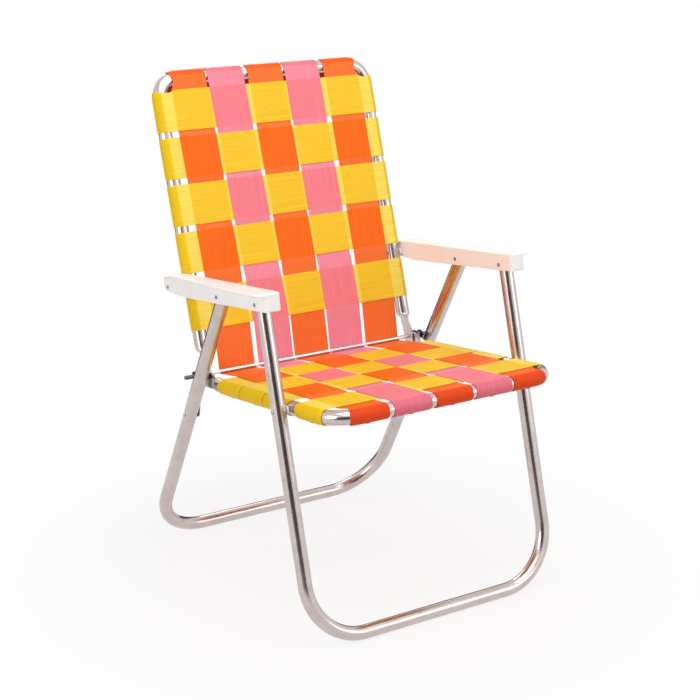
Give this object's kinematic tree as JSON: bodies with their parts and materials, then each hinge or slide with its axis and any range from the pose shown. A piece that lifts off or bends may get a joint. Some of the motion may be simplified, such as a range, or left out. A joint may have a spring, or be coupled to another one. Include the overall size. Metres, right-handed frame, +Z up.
{
  "type": "folding webbed lawn chair",
  "caption": "Folding lawn chair with bent aluminium tube frames, flat moulded armrests and a seat and back woven from wide coloured webbing straps.",
  "frame": {"origin": "middle of the chair's box, on the floor", "axes": "+Z up, -Y the way that the sitter faces, +X to the sitter's left"},
  "size_m": [0.5764, 0.6424, 0.9197],
  "materials": {
    "bright_aluminium": "polished",
    "zinc_steel": "zinc plated",
    "white_plastic": "satin",
    "grey_plastic": "satin",
    "black_plastic": "matt",
    "yellow_webbing": "woven",
    "orange_webbing": "woven",
    "pink_webbing": "woven"
  },
  "bodies": {
    "back": {"back_frame": "bright_aluminium", "back_row_1": "yellow_webbing", "back_row_2": "yellow_webbing", "back_row_3": "yellow_webbing", "back_row_4": "yellow_webbing", "back_row_5": "yellow_webbing", "back_column_1": "orange_webbing", "back_column_2": "pink_webbing", "back_column_3": "orange_webbing", "back_column_4": "pink_webbing", "back_column_5": "orange_webbing", "cross_rod": "zinc_steel", "hinge_spacer_left": "black_plastic", "hinge_spacer_right": "black_plastic", "rod_bush_left": "grey_plastic", "rod_bush_right": "grey_plastic", "rod_retainer_left": "black_plastic", "rod_retainer_right": "black_plastic"},
    "arms": {"armrest_left": "white_plastic", "armrest_right": "white_plastic", "arm_rear_rivet_left": "bright_aluminium", "arm_rear_rivet_right": "bright_aluminium", "arm_middle_rivet_left": "bright_aluminium", "arm_middle_rivet_right": "bright_aluminium", "arm_front_rivet_left": "bright_aluminium", "arm_front_rivet_right": "bright_aluminium", "arm_washer_left": "white_plastic", "arm_washer_right": "white_plastic"},
    "seat": {"seat_frame": "bright_aluminium", "seat_row_1": "yellow_webbing", "seat_row_2": "yellow_webbing", "seat_row_3": "yellow_webbing", "seat_row_4": "yellow_webbing", "seat_column_1": "orange_webbing", "seat_column_2": "pink_webbing", "seat_column_3": "orange_webbing", "seat_column_4": "pink_webbing", "seat_column_5": "orange_webbing", "rail_pin_left": "bright_aluminium", "rail_pin_right": "bright_aluminium"},
    "front_leg_frame": {"front_legs": "bright_aluminium", "seat_pivot_rivet_left": "bright_aluminium", "seat_pivot_rivet_right": "bright_aluminium"},
    "rear_leg_frame": {"rear_legs": "bright_aluminium", "link_rivet_left": "bright_aluminium", "link_rivet_right": "bright_aluminium"},
    "links": {"hinge_link_left": "zinc_steel", "hinge_link_right": "zinc_steel"}
  },
  "joints": [
    {"name": "arm_fold", "type": "hinge", "parent": "back", "child": "arms", "pos_m": [0, 0.19002, 0.54298], "axis": [-1, 0, 0], "range_deg": [0, 86]},
    {"name": "seat_fold", "type": "hinge", "parent": "back", "child": "seat", "pos_m": [0, 0.13251, 0.3839], "axis": [-1, 0, 0], "range_deg": [0, 87.31]},
    {"name": "link_fold", "type": "hinge", "parent": "back", "child": "links", "pos_m": [0, 0.13251, 0.3839], "axis": [-1, 0, 0], "range_deg": [0, 164.4]},
    {"name": "front_leg_fold", "type": "hinge", "parent": "arms", "child": "front_leg_frame", "pos_m": [0, -0.12785, 0.57999], "axis": [1, 0, 0], "range_deg": [0, 79.74]},
    {"name": "rear_leg_fold", "type": "hinge", "parent": "arms", "child": "rear_leg_frame", "pos_m": [0, 0.00526, 0.56457], "axis": [1, 0, 0], "range_deg": [0, 37.28]}
  ],
  "couplings": [
    {"joint": "seat_fold", "follows": "arm_fold", "ratio": 1.0146},
    {"joint": "front_leg_fold", "follows": "arm_fold", "ratio": 0.9266},
    {"joint": "rear_leg_fold", "follows": "arm_fold", "ratio": 0.4329},
    {"joint": "link_fold", "follows": "arm_fold", "ratio": 1.911}
  ]
}
